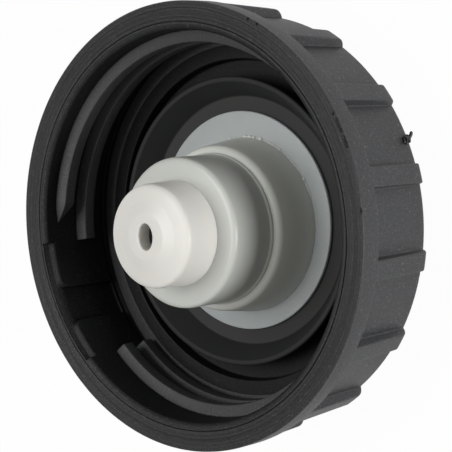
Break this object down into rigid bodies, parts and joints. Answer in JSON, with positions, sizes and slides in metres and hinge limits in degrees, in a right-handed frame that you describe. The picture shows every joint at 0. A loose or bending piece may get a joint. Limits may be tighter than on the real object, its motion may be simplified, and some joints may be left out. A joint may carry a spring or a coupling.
{
  "type": "fuel tank cap",
  "caption": "Ribbed screw cap for a fuel tank, with an interrupted inner thread, a dished gasket and a stepped vent valve with a hole in its tip.",
  "frame": {"origin": "centre of the closed face, on which the cap rests with its open end up", "axes": "+Z along the thread's axis out of the open end; +X to the right and +Y up in the picture's view into the cap"},
  "size_m": [0.0962, 0.0962, 0.0381],
  "materials": {
    "black_plastic": "fine moulded texture, semi-matt",
    "gasket_rubber": "matt",
    "flange_plastic": "slightly translucent satin",
    "housing_plastic": "satin",
    "cartridge_plastic": "satin",
    "nozzle_plastic": "satin",
    "inner_plastic": "natural moulded",
    "seal_rubber": "matt",
    "filter_felt": "felt",
    "ball_steel": "polished",
    "spring_steel": "drawn wire"
  },
  "bodies": {
    "cap_body": {"cap_shell": "black_plastic", "sealing_gasket": "gasket_rubber", "mounting_flange": "flange_plastic", "vent_filter": "filter_felt", "valve_housing": "housing_plastic", "valve_cartridge": "cartridge_plastic", "valve_nozzle": "nozzle_plastic", "cartridge_o_ring": "seal_rubber", "ball_seat": "inner_plastic", "seat_seal": "seal_rubber", "pressure_spring": "spring_steel"},
    "rollover_ball": {"rollover_ball": "ball_steel"},
    "pressure_valve": {"pressure_plate": "inner_plastic", "pressure_seal": "seal_rubber", "vacuum_spring": "spring_steel"},
    "vacuum_valve": {"vacuum_disc": "inner_plastic", "vacuum_seal": "seal_rubber", "spring_keeper": "inner_plastic"}
  },
  "joints": [
    {"name": "ball_travel", "type": "slide", "parent": "cap_body", "child": "rollover_ball", "axis": [0, 0, 1], "range_m": [0, 0.0045]},
    {"name": "pressure_lift", "type": "slide", "parent": "cap_body", "child": "pressure_valve", "axis": [0, 0, -1], "range_m": [0, 0.0018], "stiffness_N_per_m": 1000, "springref_m": -0.003, "deforming": ["pressure_spring"]},
    {"name": "vacuum_lift", "type": "slide", "parent": "pressure_valve", "child": "vacuum_valve", "axis": [0, 0, 1], "range_m": [0, 0.0012], "stiffness_N_per_m": 120, "springref_m": -0.0015, "deforming": ["vacuum_spring"]}
  ]
}
